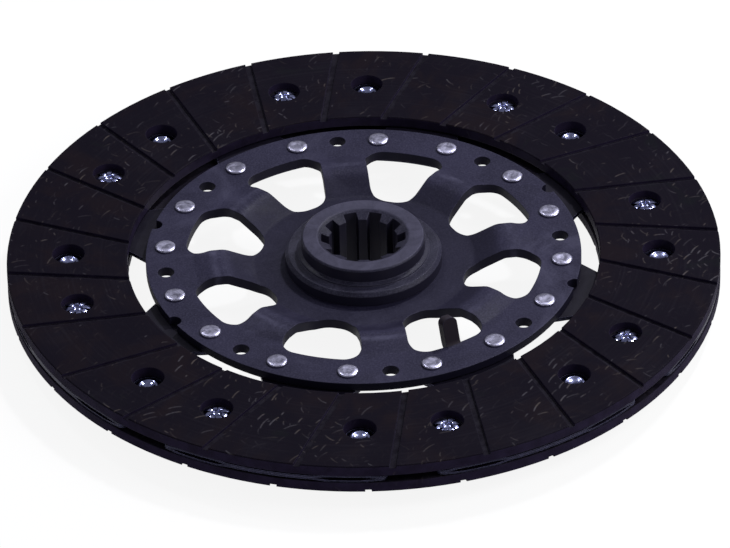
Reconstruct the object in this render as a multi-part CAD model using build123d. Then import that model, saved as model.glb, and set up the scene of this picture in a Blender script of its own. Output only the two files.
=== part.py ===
from build123d import *
import os
from math import atan, atan2, cos, degrees, radians, sin, tan

# Clutch disc: a rigid driven plate. A splined hub carries a dished driver plate. Eight pairs of spring
# steel cushion segments are riveted under the plate's rim, back to back, and each segment of a pair
# carries one of the two friction facings on a rivet of its own.
#
# The origin is on the hub's axis, midway between the two friction faces. +Z points to the gearbox.
# Lengths are millimetres. Angles are degrees from +X, anticlockwise seen from the gearbox.

# Friction facings
facing_outer_radius = 120.0
facing_clearance = 6.2         # between the driver plate's edge and a facing's inner edge
facing_thickness = 3.8
facing_edge_break = 0.3
groove_count = 24
groove_width = 2.2
groove_depth = 1.0
groove_lean = 5.4              # how far a groove turns between its outer and its inner end
gearbox_groove_angle = 3.8     # where a groove's outer end is, on the gearbox side
flywheel_groove_angle = 0.0    # and on the flywheel side

# Cushion segments: spring steel strips, one flat lane down the middle and a wave in each wing
segment_count = 8
segment_angle = 29.45          # centre line of the first pair
segment_thickness = 0.7
segment_rise = 0.64            # how far a wing's wave lifts the facing off its flat lane
segment_setback = 0.3          # of the blade's outer edge from the facing's
foot_overlap = 11.8            # how far the foot reaches in from the driver plate's edge
foot_half_width = 17.2
foot_end_inset = 4.3           # from the plate's edge to where the foot's parallel sides end
neck_half_width = 12.4
neck_reach = 4.9               # from the plate's edge to where the neck is at its narrowest
blade_setback = 6.5            # of the blade's inner edge from the facing's
blade_half_angle = 18.7
lane_half_width = 13.0         # flat middle lane
crest_start = 20.4             # flat top of the wave, measured across the segment
crest_end = 28.3
wave_end = 38.0
segment_corner_radius = 2.5

# Driver plate
plate_thickness = 3.4
plate_outer_radius = 73.3
dish_radius = 37.3             # where the plate starts to rise from its inner face
dish_depth = 2.75              # how far the inner face lies below the rim's face
shoulder_outer_radius = 51.9   # raised ring between the dish and the rim
shoulder_crest = 5.0           # width of the ring's flat top
shoulder_run = 5.4             # over which the ring comes down to the rim's face
shoulder_height = 1.7          # above the rim's face
dish_bend_radius = 3.0
spoke_width = 15.4
window_inset = 13.2            # from the plate's edge to a window's outer edge
window_inner_radius = 35.05
window_outer_corner = 6.0
window_inner_corner = 8.1
free_hole_diameter = 5.6
rim_notches = (0, 3, 4, 7)     # over which segments the rim is notched
notch_diameter = 5.0
notch_inset = 0.3              # of its centre from the plate's edge
edge_break = 0.5               # on the plate's lower outer edge

# Tab that is bent up at the outer edge of one window
tab_window = 6                 # which window, counted from the first segment's
tab_width = 5.3
tab_offset = -0.6              # degrees from the window's centre line
tab_bend_inset = 1.8           # from the window's outer edge to where the bend leaves the plate's face
tab_bend_radius = 2.0
tab_bend_angle = 73.0
tab_height = 9.3               # above the plate's face
tab_end_corner = 2.2

# Rivets that hold a pair of segments to the driver plate
segment_rivet_inset = 6.4      # of its centre from the plate's edge
segment_rivet_angle = 10.4     # to each side of a segment's centre line
segment_rivet_diameter = 4.5
segment_rivet_head_diameter = 6.6
segment_rivet_head_height = 0.85
segment_rivet_head_edge = 0.3

# Rivets that hold the facings: a head on the segment, a splayed end in the facing
facing_rivet_offset = -0.45    # of its centre from the middle of the facing's width
facing_rivet_angle = 14.15     # to each side of a segment's centre line
facing_rivet_diameter = 4.4
facing_rivet_head_diameter = 8.0
facing_rivet_head_height = 1.9
facing_rivet_bore = 2.9
facing_rivet_bore_depth = 3.0
splay_diameter = 9.9
splay_height = 1.15
splay_thickness = 0.55
splay_petals = 8
splay_slot_width = 0.9
facing_hole_diameter = 11.0
facing_web = 1.0               # what a counterbore leaves under the rivet's splayed end
passing_hole_diameter = 10.4   # lets the other facing's rivet head through a segment

# Hub
hub_length = 23.8
hub_outer_radius = 20.75
hub_wall_height = 4.7          # from the ridge to the hub's gearbox end
ridge_radius = 22.2
ridge_height = 0.5
flange_radius = 26.4
flange_height = 4.85
flange_chamfer = 1.2
collar_radius = 20.9
bead_radius = 22.6
bead_height = 1.4
lower_hub_radius = 19.6
hub_chamfer = 0.6
spline_count = 10
spline_major_diameter = 28.6
spline_minor_diameter = 23.2
spline_slot_width = 4.46
mouth_radius = 15.6            # of the cone that breaks each end of the bore
mouth_depth = 2.0              # down to the tips of the teeth

# Radii that follow from the sizes above
facing_inner_radius = plate_outer_radius + facing_clearance
facing_rivet_radius = (facing_inner_radius + facing_outer_radius) / 2 + facing_rivet_offset
shoulder_inner_radius = shoulder_outer_radius - shoulder_crest
shoulder_foot_radius = shoulder_outer_radius + shoulder_run
segment_inner_radius = plate_outer_radius - foot_overlap
segment_outer_radius = facing_outer_radius - segment_setback
foot_end = plate_outer_radius - foot_end_inset
neck_end = plate_outer_radius + neck_reach
blade_inner_radius = facing_inner_radius + blade_setback
notch_radius = plate_outer_radius - notch_inset
segment_rivet_radius = plate_outer_radius - segment_rivet_inset
window_outer_radius = plate_outer_radius - window_inset
tab_bend_start = window_outer_radius + tab_bend_inset

# Heights that follow from the sizes above
pack_gap = 2 * (segment_thickness + segment_rise)
facing_seat = pack_gap / 2
friction_face = facing_seat + facing_thickness
plate_face = segment_thickness + plate_thickness
plate_inner_face = plate_face - dish_depth
plate_underside = plate_inner_face - plate_thickness
hub_end = hub_length / 2

segment_pitch = 360 / segment_count
segment_angles = [segment_angle + segment_pitch * index for index in range(segment_count)]
spoke_angles = [angle + segment_pitch / 2 for angle in segment_angles]


def around(piece, radius, angles):
    """Copies of a piece, each moved out to a radius and turned to an angle."""
    return [Rot(0, 0, angle) * Pos(radius, 0, 0) * piece for angle in angles]


def drill(diameter):
    """A hole through everything, on the axis."""
    return Cylinder(diameter / 2, 4 * hub_length)


def sides(angles, offset):
    """Angles that lie an offset to each side of the given ones."""
    return [angle + side * offset for angle in angles for side in (-1, 1)]


def spun(outline):
    """A solid of revolution from (radius, height) points."""
    return revolve(Plane.XZ * make_face(Polyline(*outline, close=True)), Axis.Z)


def facing(groove_angle, own_angles, passing_angles):
    """A facing with its friction face up. Its own rivets stand in counterbores."""
    outer, inner, edge = facing_outer_radius, facing_inner_radius, facing_edge_break
    ring = spun([(inner, facing_seat), (outer, facing_seat), (outer, friction_face - edge),
                 (outer - edge, friction_face), (inner + edge, friction_face), (inner, friction_face - edge)])
    counterbore = Pos(0, 0, facing_seat + facing_web) * Cylinder(
        facing_hole_diameter / 2, facing_thickness, align=(Align.CENTER, Align.CENTER, Align.MIN))
    ring -= around(counterbore, facing_rivet_radius, own_angles)
    ring -= around(drill(facing_rivet_diameter), facing_rivet_radius, own_angles)
    ring -= around(drill(facing_hole_diameter), facing_rivet_radius, passing_angles)
    groove_step = 360 / groove_count
    return ring - [groove(groove_angle + groove_step * index) for index in range(groove_count)]


def groove(angle):
    """The space of one straight groove, which leans away from the radius."""
    outer_end = Vector(facing_outer_radius, 0).rotate(Axis.Z, angle)
    inner_end = Vector(facing_inner_radius, 0).rotate(Axis.Z, angle + groove_lean)
    middle = (outer_end + inner_end) / 2
    run = outer_end - inner_end
    bar = Box(run.length + 4 * groove_width, groove_width, 2 * groove_depth)
    return Pos(middle.X, middle.Y, friction_face) * Rot(0, 0, degrees(atan2(run.Y, run.X))) * bar


def ease(start, end):
    """Two equal arcs that leave start level and reach end level."""
    middle = (Vector(*start) + Vector(*end)) / 2
    return [TangentArc(start, middle, tangent=(1, 0)), TangentArc(end, middle, tangent=(-1, 0))]


def wave_section():
    """The section across a segment: a flat lane with a wave on each side of it."""
    edges = []
    for base in (0, segment_thickness):
        crest = base + segment_rise
        edges += [Line((-lane_half_width, base), (lane_half_width, base))]
        for side in (-1, 1):
            knees = [(side * lane_half_width, base), (side * crest_start, crest),
                     (side * crest_end, crest), (side * wave_end, base)]
            rise, fall = sorted(knees[:2]), sorted(knees[2:])
            edges += ease(*rise) + ease(*fall) + [Line(knees[1], knees[2])]
            edges += [Line(knees[3], (side * (wave_end + foot_half_width), base))]
    for side in (-1, 1):
        reach = side * (wave_end + foot_half_width)
        edges += [Line((reach, 0), (reach, segment_thickness))]
    return make_face(edges)


def segment_plan():
    """A segment's outline: foot and neck, and the blade that the facing lies on."""
    reach = 2 * segment_outer_radius
    wedge = Polyline((0, 0), Vector(reach, 0).rotate(Axis.Z, -blade_half_angle),
                     Vector(reach, 0).rotate(Axis.Z, blade_half_angle), close=True)
    blade = make_face(wedge) & (Circle(segment_outer_radius) - Circle(blade_inner_radius))
    half = [(0, foot_half_width), (foot_end, foot_half_width), (neck_end, neck_half_width),
            (blade_inner_radius + segment_corner_radius, neck_half_width)]
    foot = make_face(Polyline(*half, *[(x, -y) for x, y in reversed(half)], close=True))
    plan = (blade + foot) - Circle(segment_inner_radius)
    return fillet(plan.vertices(), segment_corner_radius)


def segment():
    """One cushion segment, on the gearbox side, with its centre line along +X."""
    wave = Pos(neck_end, 0, 0) * extrude(Plane.YZ * wave_section(), segment_outer_radius)
    flat = Box(neck_end, 4 * foot_half_width, segment_thickness, align=(Align.MIN, Align.CENTER, Align.MIN))
    strip = (wave + flat) & extrude(segment_plan(), facing_seat + segment_thickness)
    strip -= around(drill(segment_rivet_diameter), segment_rivet_radius, sides([0], segment_rivet_angle))
    strip -= around(drill(facing_rivet_diameter), facing_rivet_radius, [-facing_rivet_angle])
    return strip - around(drill(passing_hole_diameter), facing_rivet_radius, [facing_rivet_angle])


def window_plan():
    """A window between two spokes with parallel sides, centred on +X."""
    half_pitch = segment_pitch / 2
    apex = spoke_width / 2 / sin(radians(half_pitch))
    flank = Vector(plate_outer_radius, 0).rotate(Axis.Z, half_pitch) + Vector(apex, 0)
    wedge = make_face(Polyline((apex, 0), (flank.X, -flank.Y), (flank.X, flank.Y), close=True))
    plan = wedge & (Circle(window_outer_radius) - Circle(window_inner_radius))
    corners = plan.vertices().sort_by(lambda corner: Vector(*corner).length)
    plan = fillet(corners[:2], window_inner_corner)
    corners = plan.vertices().sort_by(lambda corner: Vector(*corner).length)
    return fillet(corners[-2:], window_outer_corner)


def plate_section():
    """The plate's section: inner face, shoulder and rim, with a bend at each change of slope."""
    shoulder = plate_face + shoulder_height
    rise = tan(atan((shoulder - plate_inner_face) / (shoulder_inner_radius - dish_radius)) / 2)
    fall = tan(atan(shoulder_height / (shoulder_foot_radius - shoulder_outer_radius)) / 2)
    tight, wide = dish_bend_radius, dish_bend_radius + plate_thickness
    upper = [(collar_radius, plate_inner_face), (dish_radius, plate_inner_face), (shoulder_inner_radius, shoulder),
             (shoulder_outer_radius, shoulder), (shoulder_foot_radius, plate_face), (plate_outer_radius, plate_face)]
    shifts = [0, rise, rise, -fall, -fall, 0]
    lower = [(radius + plate_thickness * shift, height - plate_thickness)
             for (radius, height), shift in zip(upper, shifts)]
    lower[-1] = (plate_outer_radius - edge_break, segment_thickness)
    corner = (plate_outer_radius, segment_thickness + edge_break)
    outline = [FilletPolyline(*upper, radius=[tight, wide, wide, tight]),
               FilletPolyline(*lower, radius=[wide, tight, tight, wide]),
               Line(upper[0], lower[0]), Line(upper[-1], corner), Line(corner, lower[-1])]
    return make_face(outline)


def tab():
    """The bent-up tab, in the plane of +X, leaning towards the hub."""
    lean = radians(tab_bend_angle)
    half = plate_thickness / 2
    root = (tab_bend_start + plate_thickness, plate_face - half)
    corner = (tab_bend_start - (tab_bend_radius + half) * tan(lean / 2), root[1])
    reach = (tab_height + half - half * cos(lean)) / sin(lean)
    tip = (corner[0] - reach * cos(lean), corner[1] + reach * sin(lean))
    path = Plane.XZ * FilletPolyline(root, corner, tip, radius=tab_bend_radius + half)
    start = Plane(origin=path @ 0, x_dir=(0, 1, 0), z_dir=(-1, 0, 0))
    strip = sweep(start * Rectangle(tab_width, plate_thickness), path=path)
    end_face = strip.faces().sort_by(Axis.Z)[-1]
    return fillet(end_face.edges().sort_by(Axis.Y)[::3], tab_end_corner)


def driver_plate():
    """The dished plate with its windows, holes, rim notches and tab."""
    plate = revolve(Plane.XZ * plate_section(), Axis.Z)
    window = extrude(window_plan(), hub_length, both=True)
    plate -= around(window, 0, segment_angles)
    plate += around(tab(), 0, [segment_angles[tab_window] + tab_offset])
    rivet_angles = sides(segment_angles, segment_rivet_angle)
    plate -= around(drill(segment_rivet_diameter), segment_rivet_radius, rivet_angles)
    plate -= around(drill(free_hole_diameter), segment_rivet_radius, spoke_angles)
    notched = [segment_angles[index] for index in rim_notches]
    return plate - around(drill(notch_diameter), notch_radius, notched)


def hub():
    """The hub: splined bore, flange on the plate, collar through it and a rolled bead beneath."""
    bore = spline_minor_diameter / 2
    flange_top = plate_inner_face + flange_height
    ridge_top = hub_end - hub_wall_height
    hub_body = spun([
        (bore, hub_end), (hub_outer_radius - hub_chamfer, hub_end), (hub_outer_radius, hub_end - hub_chamfer),
        (hub_outer_radius, ridge_top), (ridge_radius, ridge_top - ridge_height), (ridge_radius, flange_top),
        (flange_radius - flange_chamfer, flange_top), (flange_radius, flange_top - flange_chamfer),
        (flange_radius, plate_inner_face), (collar_radius, plate_inner_face), (collar_radius, plate_underside),
        (bead_radius, plate_underside), (bead_radius, plate_underside - bead_height / 2),
        (collar_radius, plate_underside - bead_height), (lower_hub_radius, plate_underside - bead_height),
        (lower_hub_radius, hub_chamfer - hub_end), (lower_hub_radius - hub_chamfer, -hub_end), (bore, -hub_end)])
    slots = extrude(splines(), hub_length, both=True)
    mouth = Pos(0, 0, hub_end) * lead_in()
    return hub_body - slots - mouth - Rot(180, 0, 0) * mouth


def splines():
    """The spline slots: straight sides, and a round floor at the major diameter."""
    slot = Rectangle(spline_major_diameter, spline_slot_width, align=(Align.MIN, Align.CENTER))
    step = 360 / spline_count
    slots = Sketch() + [Rot(0, 0, step * index) * slot for index in range(spline_count)]
    return slots & Circle(spline_major_diameter / 2)


def lead_in():
    """The cone that breaks the bore's mouth, with its wide end at height 0."""
    return Cone(spline_minor_diameter / 2, mouth_radius, mouth_depth, align=(Align.CENTER, Align.CENTER, Align.MAX))


def segment_rivet():
    """A solid rivet with a low flat head on the plate and another under the segments."""
    shank, head = segment_rivet_diameter / 2, segment_rivet_head_diameter / 2
    edge, height = segment_rivet_head_edge, segment_rivet_head_height
    return spun([
        (0, plate_face + height), (head - edge, plate_face + height), (head, plate_face + height - edge),
        (head, plate_face), (shank, plate_face), (shank, -segment_thickness), (head, -segment_thickness),
        (head, edge - height - segment_thickness), (head - edge, -height - segment_thickness),
        (0, -height - segment_thickness)])


def facing_rivet():
    """A rivet of the gearbox-side facing: head under its segment, splayed petals in the counterbore."""
    shank, head, bore = facing_rivet_diameter / 2, facing_rivet_head_diameter / 2, facing_rivet_bore / 2
    splay, petal = splay_diameter / 2, splay_thickness
    seat, floor = facing_seat - segment_thickness, facing_seat + facing_web
    crown = floor + splay_height
    turned = spun([
        (0, seat - facing_rivet_head_height), (head, seat - facing_rivet_head_height), (head, seat),
        (shank, seat), (shank, floor), (splay, floor), (splay, floor + petal), (bore, crown),
        (bore, crown - facing_rivet_bore_depth), (0, crown - facing_rivet_bore_depth)])
    slot = Pos(shank, 0, floor) * Box(splay, splay_slot_width, 4 * splay_height,
                                      align=(Align.MIN, Align.CENTER, Align.CENTER))
    slot -= Pos(0, 0, floor) * Cylinder(splay, 8 * splay_height, align=(Align.CENTER, Align.CENTER, Align.MAX))
    return turned - around(slot, 0, [360 / splay_petals * index for index in range(splay_petals)])


def flipped(piece):
    """The same piece turned over, to the flywheel side."""
    return Rot(180, 0, 0) * piece


def group(solids):
    """Several loose solids as one node."""
    return Compound(children=[solid for piece in solids for solid in piece.solids()])


own_angles = [angle - facing_rivet_angle for angle in segment_angles]
passing_angles = [angle + facing_rivet_angle for angle in segment_angles]

nodes = {
    "hub": hub(),
    "driver_plate": driver_plate(),
    "gearbox_side_facing": facing(gearbox_groove_angle, own_angles, passing_angles),
    "flywheel_side_facing": flipped(facing(
        -flywheel_groove_angle, [-angle for angle in passing_angles], [-angle for angle in own_angles])),
    "segment_rivets": group(around(
        segment_rivet(), segment_rivet_radius, sides(segment_angles, segment_rivet_angle))),
    "gearbox_facing_rivets": group(around(facing_rivet(), facing_rivet_radius, own_angles)),
    "flywheel_facing_rivets": group(around(flipped(facing_rivet()), facing_rivet_radius, passing_angles)),
}
for number, angle in enumerate(segment_angles, start=1):
    nodes[f"gearbox_side_segment_{number}"] = Rot(0, 0, angle) * segment()
    nodes[f"flywheel_side_segment_{number}"] = Rot(0, 0, angle) * flipped(segment())

os.makedirs("parts", exist_ok=True)
for name, piece in nodes.items():
    export_step(piece, f"parts/{name}.step")
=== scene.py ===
from math import cos, pi, radians, sin

import bmesh
import bpy
from mathutils import Matrix, Vector


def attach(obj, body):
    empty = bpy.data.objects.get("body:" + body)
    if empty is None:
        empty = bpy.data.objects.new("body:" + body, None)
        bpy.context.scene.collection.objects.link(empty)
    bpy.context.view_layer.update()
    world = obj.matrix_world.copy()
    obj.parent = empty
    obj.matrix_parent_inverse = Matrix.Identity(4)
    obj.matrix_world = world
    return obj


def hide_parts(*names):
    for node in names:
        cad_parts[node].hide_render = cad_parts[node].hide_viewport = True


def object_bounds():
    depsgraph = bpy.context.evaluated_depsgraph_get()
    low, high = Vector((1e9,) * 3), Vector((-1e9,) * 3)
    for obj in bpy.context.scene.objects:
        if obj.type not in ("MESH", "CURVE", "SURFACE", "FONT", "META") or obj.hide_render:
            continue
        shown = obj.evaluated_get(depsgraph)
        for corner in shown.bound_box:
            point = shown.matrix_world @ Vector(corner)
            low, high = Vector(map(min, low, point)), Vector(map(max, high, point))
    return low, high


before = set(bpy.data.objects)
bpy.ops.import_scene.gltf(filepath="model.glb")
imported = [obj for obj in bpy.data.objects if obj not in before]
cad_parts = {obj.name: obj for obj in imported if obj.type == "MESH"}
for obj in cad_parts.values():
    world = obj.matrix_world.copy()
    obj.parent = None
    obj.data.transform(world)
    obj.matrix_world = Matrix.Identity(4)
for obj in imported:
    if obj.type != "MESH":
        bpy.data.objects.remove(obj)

cad_box = [list(corner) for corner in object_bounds()]
MM = 0.001

# Sizes repeated from the part's source, in millimetres and degrees
facing_radius = 120.0
friction_face = 5.14
facing_seat = 1.34
facing_web = 1.0
plate_face = 4.1
hub_end = 11.9
segment_thickness = 0.7
segment_count = 8
segment_angles = [29.45 + 360 / segment_count * index for index in range(segment_count)]
segment_rivet_radius = 66.9
segment_rivet_angle = 10.4
segment_rivet_shank = 2.25
facing_rivet_radius = 99.3
facing_rivet_angle = 14.15
facing_rivet_shank = 2.2
facing_rivet_head = 4.0
facing_rivet_bore = 1.45
splay_radius = 4.95
splay_height = 1.15

# Rivet heads as drawn: a little taller than the solids' plain ones, and on the ring a little wider
segment_rivet_head = 3.5
segment_rivet_height = 0.95
facing_rivet_height = 2.8

# Each petal of a splayed rivet droops by its own few degrees
petal_droops = (3.5, -2.0, 1.5, 4.0, -1.0, 2.5, -3.0, 0.5)
petal_share = 0.8              # of its own sector that a petal fills
petal_taper = 0.62             # of its width that a petal loses at its tip

# How far each rivet is turned on its own axis from the one before, in radians
ring_rivet_twist = 2.4
splayed_rivet_twist = 1.7

# Steps of a full turn and of a petal's width, and the degrees between faces that still look like one
turn_steps = 40
petal_steps = 8
smooth_turn = 40

# Radii and heights at which a colour starts or ends, in millimetres
crest_highlight_radius = 50.6
crest_highlight_half_width = (1.8, 0.3)  # where the painted highlight starts, and where it is whole
well_radius = 43.0
well_fade = 4.0
tab_root_radius = 57.8
tab_root_height = 0.3          # above the plate's face
tab_bend_height = 2.2          # above the plate's face, clear of the raised ring
groove_fade = (0.3, 0.8)       # below the friction face
faced_depth = (0.3, 0.1)       # below the hub's end

# One line for each set of fibres in the lining: the way they lie, a cell's width in metres, how drawn out
# the cells are, the share of them that hold a fibre, how strong it is, and where the pattern starts
fibre_sets = (
    (0.95, 0.0024, 3.0, 0.42, 0.85, 0.11),
    (0.35, 0.0027, 2.6, 0.30, 0.60, 0.47),
    (2.30, 0.0024, 2.4, 0.32, 0.65, 0.83),
    (1.60, 0.0021, 2.0, 0.34, 0.55, 1.31),
)

# Camera: a long lens, set by its rise above the floor and the width of its picture
camera_rise = 35.808           # degrees
camera_roll = -1.281           # degrees
camera_distance = 2.685346     # metres
camera_aim = (0.352, -5.964, 0)  # millimetres
focal_length = 7990.39         # dots of the picture
picture_width = 730            # dots
sensor_width = 36              # millimetres


# Colours
lining_dark = (0.0047, 0.0035, 0.0080, 1)
lining_brown = (0.0078, 0.0050, 0.0082, 1)
lining_green = (0.0049, 0.0051, 0.0079, 1)
lining_worn = (0.0108, 0.0092, 0.0150, 1)
# Painted light on the lining's upright walls
lining_wall_light = (0.0185, 0.0138, 0.0335, 1)
lining_edge = (0.028, 0.025, 0.040, 1)
# Painted light on the floors of the grooves
groove_floor_light = (0.0140, 0.0123, 0.0195, 1)
fibre_tan = (0.088, 0.073, 0.069, 1)
fibre_grey = (0.078, 0.073, 0.088, 1)
plate_dark = (0.0100, 0.0090, 0.0240, 1)
plate_light = (0.0170, 0.0155, 0.0366, 1)
# Painted light and shade for the plate's upright walls
plate_wall_shading = (0.0094, 0.0084, 0.0195, 1)
# Painted shade for the plate's sunk middle
plate_well_shade = (0.0052, 0.0044, 0.0128, 1)
plate_tab = (0.0200, 0.0155, 0.0225, 1)
plate_edge = (0.070, 0.067, 0.115, 1)
hub_dark = (0.0064, 0.0058, 0.0148, 1)
hub_light = (0.0120, 0.0112, 0.0255, 1)
# Painted light for the hub's upright walls
hub_wall_shading = (0.0138, 0.0126, 0.0255, 1)
hub_faced = (0.0520, 0.0495, 0.0830, 1)
hub_edge = (0.090, 0.087, 0.135, 1)
strip_dark = (0.0060, 0.0050, 0.0110, 1)
strip_light = (0.0110, 0.0096, 0.0185, 1)
sheared_dark = (0.009, 0.009, 0.019, 1)
sheared_light = (0.022, 0.022, 0.050, 1)
# Painted highlight for the strips' sheared edges
strip_edge_highlight = (0.30, 0.28, 0.50, 1)
head_dull = (0.17, 0.165, 0.23, 1)
head_bright = (0.46, 0.45, 0.60, 1)
splay_dull = (0.12, 0.13, 0.25, 1)
splay_bright = (0.32, 0.34, 0.56, 1)


# Shader building

class Shader:
    """A material or a node group that is built up node by node."""

    def __init__(self, tree):
        self.tree = tree

    def node(self, kind, inputs=None, **settings):
        made = self.tree.nodes.new("ShaderNode" + kind)
        for name, value in settings.items():
            setattr(made, name, value)
        for name, value in (inputs or {}).items():
            self.feed(made.inputs[name], value)
        return made

    def feed(self, socket, value):
        if isinstance(value, bpy.types.NodeSocket):
            self.tree.links.new(value, socket)
        else:
            socket.default_value = value

    def math(self, operation, *values):
        return self.node("Math", dict(enumerate(values)), operation=operation).outputs[0]

    def vector_math(self, operation, first, second):
        return self.node("VectorMath", {0: first, 1: second}, operation=operation).outputs

    def split(self, vector):
        return self.node("SeparateXYZ", {0: vector}).outputs

    def radius(self, x_y_z):
        """How far a place lies from the part's axis."""
        return self.math("SQRT", self.math(
            "ADD", self.math("POWER", x_y_z[0], 2.0), self.math("POWER", x_y_z[1], 2.0)))

    def band(self, value, low, high, to_low=0.0, to_high=1.0):
        """A smooth step from one value to another."""
        return self.node("MapRange", {"Value": value, "From Min": low, "From Max": high,
                                      "To Min": to_low, "To Max": to_high},
                         interpolation_type="SMOOTHSTEP").outputs["Result"]

    def mix(self, factor, first, second):
        made = self.node("Mix", data_type="RGBA")
        self.feed(made.inputs[0], factor)
        self.feed(made.inputs[6], first)
        self.feed(made.inputs[7], second)
        return made.outputs[2]

    def noise(self, vector, scale, detail=2.0, roughness=0.5, distortion=0.0):
        return self.node("TexNoise", {"Vector": vector, "Scale": scale, "Detail": detail,
                                      "Roughness": roughness, "Distortion": distortion}).outputs["Fac"]

    def place(self):
        return self.node("TexCoord").outputs["Object"]

    def bump(self, height, strength, distance, normal=None):
        inputs = {"Height": height, "Strength": strength, "Distance": distance}
        if normal is not None:
            inputs["Normal"] = normal
        return self.node("Bump", inputs).outputs["Normal"]


def effect(name, takes, gives):
    """A node group with named inputs and outputs, and the shader that fills it."""
    group = bpy.data.node_groups.new(name, "ShaderNodeTree")
    for label, kind, value in takes:
        socket = group.interface.new_socket(label, in_out="INPUT", socket_type="NodeSocket" + kind)
        if value is not None:
            socket.default_value = value
    for label, kind in gives:
        group.interface.new_socket(label, in_out="OUTPUT", socket_type="NodeSocket" + kind)
    inputs = group.nodes.new("NodeGroupInput").outputs
    outputs = group.nodes.new("NodeGroupOutput").inputs
    return group, Shader(group), inputs, outputs


def make_worn_edges():
    """Where a surface turns sharply: 1 on its outer edges, broken up by a little noise."""
    group, shader, takes, gives = effect(
        "worn_edges", [("Width", "Float", 0.0004), ("Vector", "Vector", None)],
        [("Mask", "Float"), ("Normal", "Vector")])
    rounded = shader.node("Bevel", {"Radius": takes["Width"]}, samples=6).outputs["Normal"]
    sharp = shader.node("NewGeometry").outputs["Normal"]
    turn = shader.vector_math("DOT_PRODUCT", rounded, sharp)["Value"]
    patchy = shader.noise(takes["Vector"], 900.0, 3.0)
    shader.feed(gives["Mask"], shader.math(
        "MULTIPLY", shader.band(turn, 0.985, 0.80), shader.band(patchy, 0.30, 0.62, 0.35, 1.0)))
    shader.feed(gives["Normal"], rounded)
    return group


def make_ring_marks():
    """Fine turned rings about the part's axis, used as a height and as a tint."""
    group, shader, takes, gives = effect(
        "ring_marks", [("Vector", "Vector", None), ("Pitch", "Float", 0.0006), ("Wander", "Float", 0.4)],
        [("Value", "Float")])
    along = shader.math("DIVIDE", shader.radius(shader.split(takes["Vector"])), takes["Pitch"])
    turned = shader.node("TexNoise", {"W": along, "Scale": 1.0, "Detail": 3.0, "Roughness": 0.65},
                         noise_dimensions="1D").outputs["Fac"]
    patches = shader.noise(takes["Vector"], 60.0, 2.0)
    blend = shader.math("MULTIPLY", takes["Wander"], shader.math("SUBTRACT", patches, 0.5))
    shader.feed(gives["Value"], shader.math("ADD", turned, blend))
    return group


def make_stock_grain():
    """The fine pitted grain of pressed and phosphated steel, with larger cloudy patches."""
    group, shader, takes, gives = effect(
        "stock_grain", [("Vector", "Vector", None), ("Size", "Float", 0.0005)],
        [("Grain", "Float"), ("Clouds", "Float")])
    fine = shader.noise(takes["Vector"], shader.math("DIVIDE", 1.0, takes["Size"]), 4.0, 0.6)
    pits = shader.node("TexVoronoi", {"Vector": takes["Vector"],
                                      "Scale": shader.math("DIVIDE", 0.8, takes["Size"])}).outputs["Distance"]
    shader.feed(gives["Grain"], shader.math("ADD", shader.math("MULTIPLY", fine, 0.7),
                                            shader.math("MULTIPLY", pits, 0.3)))
    shader.feed(gives["Clouds"], shader.noise(takes["Vector"], 55.0, 4.0, 0.6, 0.4))
    return group


def make_level():
    """How level a surface lies: 1 where it faces up or down, 0 on an upright wall."""
    group, shader, takes, gives = effect("level", [], [("Value", "Float")])
    normal = shader.node("TexCoord").outputs["Normal"]
    shader.feed(gives["Value"], shader.math("ABSOLUTE", shader.split(normal)[2]))
    return group


worn_edges = make_worn_edges()
ring_marks = make_ring_marks()
stock_grain = make_stock_grain()
level = make_level()


class Finish(Shader):
    """A material with one Principled surface."""

    def __init__(self, name, **sockets):
        self.material = bpy.data.materials.new(name)
        self.material.use_nodes = True
        super().__init__(self.material.node_tree)
        self.surface = self.tree.nodes["Principled BSDF"]
        for label, value in sockets.items():
            self.surface.inputs[label.replace("_", " ")].default_value = value
        self.where = self.place()

    def effect(self, group, **values):
        made = self.tree.nodes.new("ShaderNodeGroup")
        made.node_tree = group
        for label, value in values.items():
            self.feed(made.inputs[label], value)
        return made.outputs

    def give(self, socket, value):
        self.feed(self.surface.inputs[socket], value)


def fibres(finish, spread, angle, size, stretch, share, strength, shift):
    """One set of short bowed fibres: at most one in each cell of a pattern, and in drifts."""
    moved = finish.node("Mapping", {
        "Vector": spread, "Location": (shift, shift * 0.6, 0.0), "Rotation": (0.0, 0.0, angle),
        "Scale": (stretch, 1.0, 1.0)}, vector_type="TEXTURE").outputs[0]
    cells = finish.node("TexVoronoi", {"Vector": moved, "Scale": 1 / size}, voronoi_dimensions="2D").outputs
    away = finish.vector_math("SUBTRACT", moved, cells["Position"])[0]
    away = finish.node("VectorMath", {0: away, "Scale": 1 / size}, operation="SCALE").outputs[0]
    chance = finish.node("SeparateColor", {0: cells["Color"]}).outputs
    along, across = finish.split(away)[:2]
    slope = finish.math("MULTIPLY", finish.math("SUBTRACT", chance[0], 0.5), 1.3)
    bow = finish.math("MULTIPLY", along, finish.math("ADD", slope, finish.math("MULTIPLY", along, 1.1)))
    off_line = finish.math("ABSOLUTE", finish.math("ADD", across, bow))
    reach = finish.math("ADD", 0.12, finish.math("MULTIPLY", chance[2], 0.36))
    past_end = finish.math("SUBTRACT", finish.math("ABSOLUTE", along), reach)
    strand = finish.math("MULTIPLY", finish.band(off_line, 0.19, 0.02), finish.band(past_end, 0.0, -0.16))
    drift = finish.vector_math("ADD", finish.where, (shift, 0.0, shift))[0]
    crowd = finish.band(finish.noise(drift, 38.0, 2.0), 0.50, 0.66, 0.05, 1.0)
    kept = finish.band(chance[1], 1 - share, 1 - share * 0.3, 0.0, strength)
    return finish.math("MULTIPLY", strand, finish.math("MULTIPLY", kept, crowd))


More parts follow.
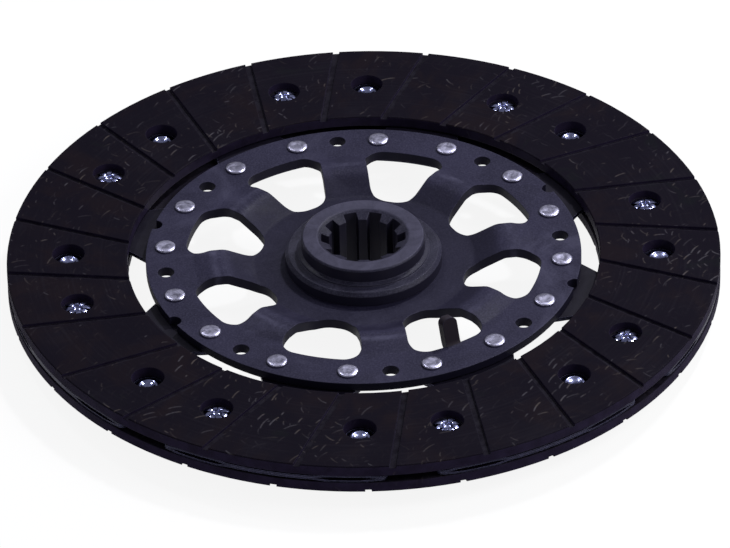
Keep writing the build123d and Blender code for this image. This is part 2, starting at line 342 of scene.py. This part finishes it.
def friction_lining():
    """Pressed lining: near black, with drifts of short pale fibres and faint turned rings, and painted light
    on its groove floors and walls.
    """
    finish = Finish("pressed friction lining", Specular_IOR_Level=0.025)
    where = finish.where
    x_y_z = finish.split(where)
    facing_up = finish.effect(level)["Value"]
    wall = finish.math("LESS_THAN", facing_up, 0.5)
    around = finish.math("MULTIPLY", finish.math("ARCTAN2", x_y_z[1], x_y_z[0]), facing_radius * MM)
    unrolled = finish.node("CombineXYZ", {0: around, 1: x_y_z[2]}).outputs[0]
    spread = finish.mix(wall, where, unrolled)

    patches = finish.noise(where, 42.0, 4.0, 0.6, 0.6)
    colour = finish.mix(finish.band(patches, 0.46, 0.68), lining_dark, lining_brown)
    colour = finish.mix(finish.band(patches, 0.40, 0.30, 0.0, 0.8), colour, lining_green)
    rings = finish.effect(ring_marks, Vector=where, Pitch=0.0011, Wander=1.2)["Value"]
    colour = finish.mix(finish.band(rings, 0.5, 0.95, 0.0, 0.4), colour, lining_worn)

    flecks = 0.0
    for fibre_set in fibre_sets:
        flecks = finish.math("MAXIMUM", flecks, fibres(finish, spread, *fibre_set))
    tints = finish.mix(finish.band(finish.noise(where, 150.0, 1.0), 0.4, 0.6), fibre_tan, fibre_grey)
    frayed = finish.band(finish.noise(where, 1100.0, 2.0), 0.2, 0.6, 0.45, 1.0)
    shown = finish.math("MULTIPLY", finish.math("MULTIPLY", flecks, frayed), 0.78)
    colour = finish.mix(shown, colour, tints)

    # Painted light: the floors of the grooves are coloured lighter, in patches, as if lit from above
    height = finish.math("ABSOLUTE", x_y_z[2])
    sunk = finish.band(height, *((friction_face - depth) * MM for depth in groove_fade))
    floors = finish.math("MULTIPLY", sunk, finish.math("GREATER_THAN", facing_up, 0.9))
    floor_light_patches = finish.band(finish.noise(where, 380.0, 3.0), 0.3, 0.7, 0.1, 1.0)
    colour = finish.mix(finish.math("MULTIPLY", floors, floor_light_patches), colour, groove_floor_light)
    # Painted light: the upright walls of grooves and holes are coloured lighter, in patches
    wall_light_patches = finish.band(finish.noise(where, 240.0, 3.0), 0.3, 0.7, 0.55, 1.0)
    colour = finish.mix(finish.math("MULTIPLY", wall, wall_light_patches), colour, lining_wall_light)
    worn = finish.effect(worn_edges, Width=0.0005, Vector=where)
    colour = finish.mix(finish.math("MULTIPLY", worn["Mask"], 0.45), colour, lining_edge)

    finish.give("Base Color", colour)
    finish.give("Roughness", finish.band(rings, 0.2, 0.9, 0.66, 0.52))
    grain = finish.math("MULTIPLY", finish.noise(where, 1500.0, 3.0, 0.6), 0.5)
    raised = finish.math("ADD", finish.math("MULTIPLY", flecks, 0.35), finish.math("MULTIPLY", rings, 0.5))
    finish.give("Normal", finish.bump(finish.math("ADD", grain, raised), 0.35, 0.00008, worn["Normal"]))
    return finish.material


def plate_marks(finish, colour, radius, height):
    """A painted highlight along the crest of the driver plate's raised ring, painted shade in its sunk
    middle, and its tab.
    """
    # Painted highlight: the crest of the raised ring is coloured paler in a broken band, as if it caught the
    # light
    off_crest = finish.math("ABSOLUTE", finish.math("SUBTRACT", radius, crest_highlight_radius * MM))
    smeared = finish.band(finish.noise(finish.where, 75.0, 4.0, 0.65, 0.5), 0.42, 0.7, 0.08, 0.6)
    crest = finish.band(off_crest, *(width * MM for width in crest_highlight_half_width))
    rubbed = finish.math("MULTIPLY", crest, smeared)
    colour = finish.mix(rubbed, colour, plate_edge)
    # Painted shade: the plate is coloured darker inside the raised ring, towards the hub
    well = finish.band(radius, (well_radius + well_fade) * MM, well_radius * MM, 0.0, 0.5)
    colour = finish.mix(well, colour, plate_well_shade)
    root = finish.math("MULTIPLY", finish.math("GREATER_THAN", radius, tab_root_radius * MM),
                       finish.math("GREATER_THAN", height, (plate_face + tab_root_height) * MM))
    above = finish.math("GREATER_THAN", height, (plate_face + tab_bend_height) * MM)
    return finish.mix(finish.math("MAXIMUM", above, root), colour, plate_tab)


def hub_marks(finish, colour, radius, height):
    """The faced ends of the hub, rubbed pale."""
    end = finish.band(finish.math("ABSOLUTE", height), *((hub_end - depth) * MM for depth in faced_depth))
    rubbed = finish.band(finish.noise(finish.where, 170.0, 5.0, 0.7, 0.8), 0.3, 0.7, 0.4, 1.0)
    return finish.mix(finish.math("MULTIPLY", end, rubbed), colour, hub_faced)


def phosphated_steel(name, dark, light, cut, edge, size, gloss, marks, turned=0.0, polish=0.0):
    """Dark zinc-phosphated steel: cloudy, finely pitted, smudged, and rubbed a little paler on its edges.

    Its walls take the cut colour, set as painted light and shade for the walls, and marks adds the colours of
    one piece's own places."""
    finish = Finish(name, Specular_IOR_Level=gloss)
    where = finish.where
    x_y_z = finish.split(where)
    grain = finish.effect(stock_grain, Vector=where, Size=size)
    colour = finish.mix(finish.band(grain["Clouds"], 0.32, 0.68), dark, light)
    colour = finish.mix(finish.band(grain["Grain"], 0.35, 0.75, 0.0, 0.3), colour, edge)
    smudges = finish.band(finish.noise(where, 26.0, 5.0, 0.66, 1.2), 0.50, 0.70, 0.0, 0.34)
    colour = finish.mix(smudges, colour, edge)
    # Painted light and shade: upright walls take the cut colour, set for how lit they should look
    colour = finish.mix(finish.band(finish.effect(level)["Value"], 0.6, 0.3), colour, cut)
    colour = marks(finish, colour, finish.radius(x_y_z), x_y_z[2])
    worn = finish.effect(worn_edges, Width=0.0005, Vector=where)
    colour = finish.mix(finish.math("MULTIPLY", worn["Mask"], 0.6), colour, edge)
    rings = finish.effect(ring_marks, Vector=where, Pitch=0.0007, Wander=0.3)["Value"]
    finish.give("Base Color", colour)
    finish.give("Metallic", finish.math("MULTIPLY", worn["Mask"], 0.35))
    finish.give("Roughness", finish.band(grain["Clouds"], 0.3, 0.7, 0.46 - polish, 0.6 - polish))
    height = finish.math("ADD", grain["Grain"], finish.math("MULTIPLY", rings, turned))
    finish.give("Normal", finish.bump(height, 0.3, 0.00006, worn["Normal"]))
    return finish.material


def spring_steel():
    """Tempered strip: dark on its faces, with painted highlights as bright lines along its sheared edges."""
    finish = Finish("tempered spring strip", Specular_IOR_Level=0.1)
    where = finish.where
    cut = finish.band(finish.effect(level)["Value"], 0.75, 0.35)
    grain = finish.effect(stock_grain, Vector=where, Size=0.0006)
    faces = finish.mix(finish.band(grain["Clouds"], 0.3, 0.7), strip_dark, strip_light)
    sheared = finish.mix(finish.band(grain["Grain"], 0.3, 0.7), sheared_dark, sheared_light)
    worn = finish.effect(worn_edges, Width=0.00016, Vector=where)
    colour = finish.mix(cut, faces, sheared)
    # Painted highlight: the corners of the sheared edges are coloured bright
    finish.give("Base Color", finish.mix(finish.math("MULTIPLY", worn["Mask"], 0.6), colour, strip_edge_highlight))
    finish.give("Metallic", finish.band(cut, 0.0, 1.0, 0.05, 0.3))
    finish.give("Roughness", finish.band(grain["Clouds"], 0.3, 0.7, 0.34, 0.46))
    finish.give("Normal", finish.bump(grain["Grain"], 0.25, 0.00004))
    return finish.material


def rivet_steel(name, dull, bright, roughness):
    """Plated rivet steel, smeared and dented where the tool closed it."""
    finish = Finish(name, Metallic=1.0)
    where = finish.where
    grain = finish.effect(stock_grain, Vector=where, Size=0.0009)
    smears = finish.noise(where, 420.0, 3.0, 0.6, 0.8)
    finish.give("Base Color", finish.mix(finish.band(smears, 0.3, 0.7), dull, bright))
    finish.give("Roughness", finish.band(grain["Clouds"], 0.3, 0.7, roughness, roughness + 0.14))
    height = finish.math("ADD", finish.math("MULTIPLY", grain["Grain"], 0.35), smears)
    finish.give("Normal", finish.bump(height, 0.5, 0.0001))
    return finish.material


lining = friction_lining()
plate_steel = phosphated_steel("phosphated plate", plate_dark, plate_light, plate_wall_shading, plate_edge,
                               size=0.0005, gloss=0.08, marks=plate_marks)
hub_steel = phosphated_steel("phosphated hub", hub_dark, hub_light, hub_wall_shading, hub_edge,
                             size=0.0004, gloss=0.11, marks=hub_marks, turned=0.8, polish=0.06)
strip_steel = spring_steel()
head_steel = rivet_steel("flattened rivet head", head_dull, head_bright, 0.26)
splayed_steel = rivet_steel("splayed rivet end", splay_dull, splay_bright, 0.11)


def finish_node(name, material):
    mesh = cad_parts[name].data
    mesh.materials.clear()
    mesh.materials.append(material)


finish_node("gearbox_side_facing", lining)
finish_node("flywheel_side_facing", lining)
finish_node("driver_plate", plate_steel)
finish_node("hub", hub_steel)
for number in range(1, segment_count + 1):
    finish_node(f"gearbox_side_segment_{number}", strip_steel)
    finish_node(f"flywheel_side_segment_{number}", strip_steel)


# Rivets

def spin_profile(points, steps, angle=2 * pi):
    """A bmesh turned about the upright axis from a profile of (radius, height) in millimetres."""
    shape = bmesh.new()
    corners = [shape.verts.new((radius, 0, height)) for radius, height in points]
    edges = [shape.edges.new(pair) for pair in zip(corners, corners[1:])]
    bmesh.ops.spin(shape, geom=corners + edges, cent=(0, 0, 0), axis=(0, 0, 1), angle=angle,
                   steps=steps, use_merge=angle == 2 * pi)
    bmesh.ops.remove_doubles(shape, verts=shape.verts, dist=0.001)
    return shape


def outward(shape):
    """The same shape with all its faces turned outwards."""
    bmesh.ops.recalc_face_normals(shape, faces=shape.faces)
    return shape


def add_shape(whole, shape, matrix):
    """Adds a copy of one shape to another, moved by a matrix."""
    copy = bpy.data.meshes.new("copy")
    shape.to_mesh(copy)
    copy.transform(matrix)
    if matrix.determinant() < 0:
        copy.flip_normals()
    whole.from_mesh(copy)
    bpy.data.meshes.remove(copy)


def make_piece(name, whole, material, node):
    """A visible piece in place of one of the part's nodes, from a shape in millimetres."""
    mesh = bpy.data.meshes.new(name)
    whole.to_mesh(mesh)
    whole.free()
    mesh.transform(Matrix.Scale(MM, 4))
    mesh.materials.append(material)
    for face in mesh.polygons:
        face.use_smooth = True
    mesh.set_sharp_from_angle(angle=radians(smooth_turn))
    piece = bpy.data.objects.new(name, mesh)
    bpy.context.scene.collection.objects.link(piece)
    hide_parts(node)
    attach(piece, "root")


def segment_rivet():
    """A solid rivet with two low heads, each pressed nearly flat, with a shallow ring left by the tool."""
    head, shank, height = segment_rivet_head, segment_rivet_shank, segment_rivet_height
    crown = [(0, height - 0.06), (1.2, height - 0.05), (1.75, height), (2.3, height - 0.01),
             (2.85, height - 0.08), (head - 0.3, height - 0.17), (head - 0.08, height - 0.3),
             (head, height - 0.46), (head - 0.06, 0.0)]
    top, bottom = plate_face, -segment_thickness
    upper = [(radius, top + rise) for radius, rise in crown]
    lower = [(radius, bottom - rise) for radius, rise in reversed(crown)]
    return outward(spin_profile(upper + [(shank, top), (shank, bottom)] + lower, turn_steps))


def splayed_rivet():
    """A half-tubular rivet: a rolled head on its segment, its tube split into petals that curl out."""
    shank, bore, head = facing_rivet_shank, facing_rivet_bore, facing_rivet_head
    seat, floor = facing_seat - segment_thickness, facing_seat + facing_web
    low = seat - facing_rivet_height
    rolled_head = [
        (0, low + 0.62), (0.5, low + 0.60), (1.1, low + 0.52), (1.7, low + 0.42), (2.2, low + 0.24),
        (2.55, low + 0.07), (2.85, low), (3.15, low + 0.05), (3.45, low + 0.24), (3.65, low + 0.55),
        (head - 0.3, low + 1.0), (head, low + 1.5), (head - 0.04, seat - 0.12), (head - 0.2, seat)]
    tube = [
        (shank, seat), (shank, floor), (shank + 0.12, floor + 0.3), (shank + 0.1, floor + 0.62),
        (bore + 0.35, floor + 0.72), (bore, floor + 0.5), (bore - 0.2, floor + 0.1),
        (bore * 0.5, floor - 0.12), (0, floor - 0.05)]
    whole = outward(spin_profile(rolled_head + tube, turn_steps))
    share = 2 * pi / len(petal_droops)
    pivot = Matrix.Translation((bore, 0, floor + 0.5))
    for index, degrees in enumerate(petal_droops):
        petal = outward(curled_petal(share * petal_share))
        droop = pivot @ Matrix.Rotation(radians(degrees), 4, "Y") @ pivot.inverted()
        add_shape(whole, petal, Matrix.Rotation(share * index, 4, "Z") @ droop)
        petal.free()
    return whole


def curled_petal(width):
    """One petal of a splayed rivet, over an angle of the given width about +X."""
    shank, bore, floor = facing_rivet_shank, facing_rivet_bore, facing_seat + facing_web
    petal = spin_profile([
        (bore + 0.02, floor + 0.46), (bore + 0.12, floor + 0.84), (bore + 0.5, floor + 1.06),
        (shank + 0.2, floor + splay_height), (shank + 0.95, floor + 1.08), (shank + 1.75, floor + 0.82),
        (splay_radius - 0.28, floor + 0.42), (splay_radius - 0.02, floor + 0.12),
        (splay_radius - 0.3, floor + 0.02), (splay_radius - 0.75, floor + 0.18),
        (shank + 1.2, floor + 0.5), (shank + 0.5, floor + 0.52),
        (shank + 0.04, floor + 0.3), (shank - 0.1, floor + 0.1)], petal_steps, angle=width)
    bmesh.ops.rotate(petal, verts=petal.verts, cent=(0, 0, 0), matrix=Matrix.Rotation(-width / 2, 3, "Z"))
    bmesh.ops.holes_fill(petal, edges=[edge for edge in petal.edges if edge.is_boundary], sides=0)
    for corner in petal.verts:
        reach = max(0.0, min(1.0, (corner.co.xy.length - shank) / (splay_radius - shank)))
        corner.co.y *= 1 - petal_taper * reach ** 1.5
    return petal


def ring_of(shape, radius, angles, twist, turn_over=False):
    """Copies of a rivet around the part, each turned on its own axis by one more twist than the last."""
    whole = bmesh.new()
    for index, angle in enumerate(angles):
        place = Matrix.Rotation(radians(angle), 4, "Z") @ Matrix.Translation((radius, 0, 0))
        if turn_over:
            place = place @ Matrix.Rotation(pi, 4, "X")
        add_shape(whole, shape, place @ Matrix.Rotation(twist * (index + 1), 4, "Z"))
    shape.free()
    return whole


ring_angles = [angle + side * segment_rivet_angle for angle in segment_angles for side in (-1, 1)]
make_piece("ring_rivets", ring_of(segment_rivet(), segment_rivet_radius, ring_angles, ring_rivet_twist),
           head_steel, "segment_rivets")

gearbox_angles = [angle - facing_rivet_angle for angle in segment_angles]
make_piece("gearbox_side_splayed_rivets",
           ring_of(splayed_rivet(), facing_rivet_radius, gearbox_angles, splayed_rivet_twist),
           splayed_steel, "gearbox_facing_rivets")

flywheel_angles = [angle + facing_rivet_angle for angle in segment_angles]
make_piece("flywheel_side_splayed_rivets",
           ring_of(splayed_rivet(), facing_rivet_radius, flywheel_angles, splayed_rivet_twist,
                   turn_over=True),
           splayed_steel, "flywheel_facing_rivets")


# Floor, lamps and camera

def pale_floor():
    """A pale floor that the camera sees as white, with the part's shadow on it."""
    material = bpy.data.materials.new("pale studio floor")
    material.use_nodes = True
    shader = Shader(material.node_tree)
    surface = shader.tree.nodes["Principled BSDF"]
    surface.inputs["Roughness"].default_value = 0.9
    surface.inputs["Specular IOR Level"].default_value = 0.0
    mottle = shader.noise(shader.place(), 6.0, 3.0)
    shader.feed(surface.inputs["Base Color"],
                shader.mix(mottle, (0.50, 0.50, 0.51, 1), (0.54, 0.54, 0.55, 1)))
    bright = shader.node("Emission", {"Color": (1, 1, 1, 1), "Strength": 1.0}).outputs[0]
    lift = shader.node("Emission", {"Strength": 0.09}).outputs[0]
    lit = shader.node("MixShader", {0: 0.8, 1: surface.outputs[0], 2: bright}).outputs[0]
    lit = shader.node("AddShader", {0: lit, 1: lift}).outputs[0]
    paths = shader.node("LightPath").outputs
    seen = shader.math("MAXIMUM", paths["Is Camera Ray"],
                       shader.math("MAXIMUM", paths["Is Glossy Ray"], paths["Is Transmission Ray"]))
    out = shader.node("MixShader", {0: seen, 1: surface.outputs[0], 2: lit}).outputs[0]
    shader.feed(shader.tree.nodes["Material Output"].inputs["Surface"], out)
    return material


def add_floor():
    plane = bmesh.new()
    bmesh.ops.create_grid(plane, x_segments=1, y_segments=1, size=4)
    mesh = bpy.data.meshes.new("floor")
    plane.to_mesh(mesh)
    plane.free()
    mesh.transform(Matrix.Translation((0, 0, cad_box[0][2])))
    mesh.materials.append(pale_floor())
    floor = bpy.data.objects.new("floor", mesh)
    bpy.context.scene.collection.objects.link(floor)


def add_sky():
    world = bpy.data.worlds.new("studio")
    world.use_nodes = True
    bpy.context.scene.world = world
    shader = Shader(world.node_tree)
    soft = shader.tree.nodes["Background"]
    soft.inputs["Color"].default_value = (0.93, 0.94, 1.0, 1)
    soft.inputs["Strength"].default_value = 0.34
    white = shader.node("Background", {"Color": (1, 1, 1, 1), "Strength": 1.0})
    seen = shader.node("LightPath").outputs["Is Camera Ray"]
    out = shader.node("MixShader", {0: seen, 1: soft.outputs[0], 2: white.outputs[0]}).outputs[0]
    shader.feed(shader.tree.nodes["World Output"].inputs["Surface"], out)


def add_lamp(name, place, size, power, colour=(1, 1, 1)):
    lamp = bpy.data.lights.new(name, "AREA")
    lamp.shape = "RECTANGLE"
    lamp.size, lamp.size_y = size
    lamp.energy = power
    lamp.color = colour
    thing = bpy.data.objects.new(name, lamp)
    thing.location = place
    thing.rotation_euler = (Vector((0, 0, 0)) - Vector(place)).to_track_quat("-Z", "Y").to_euler()
    bpy.context.scene.collection.objects.link(thing)


def add_camera():
    rise, roll = radians(camera_rise), radians(camera_roll)
    back = Vector((0, -cos(rise), sin(rise)))
    right, up = Vector((1, 0, 0)), Vector((0, sin(rise), cos(rise)))
    across = cos(roll) * right + sin(roll) * up
    upward = cos(roll) * up - sin(roll) * right
    lens = bpy.data.cameras.new("camera")
    lens.sensor_fit = "HORIZONTAL"
    lens.sensor_width = sensor_width
    lens.lens = focal_length * sensor_width / picture_width
    lens.clip_end = 20
    camera = bpy.data.objects.new("camera", lens)
    axes = Matrix((across, upward, back)).transposed().to_4x4()
    camera.matrix_world = Matrix.Translation(Vector(camera_aim) * MM + back * camera_distance) @ axes
    bpy.context.scene.collection.objects.link(camera)
    bpy.context.scene.camera = camera


add_floor()
add_sky()
add_lamp("left window", (-0.66, 1.07, 1.70), (0.19, 0.17), 6.5, (0.95, 0.97, 1.0))
add_lamp("right window", (0.72, 1.12, 1.62), (0.19, 0.17), 26, (0.95, 0.96, 1.0))
add_lamp("right softbox", (0.60, -0.06, 0.50), (0.4, 0.4), 3.5)
add_camera()
bpy.context.scene.view_settings.view_transform = "Standard"
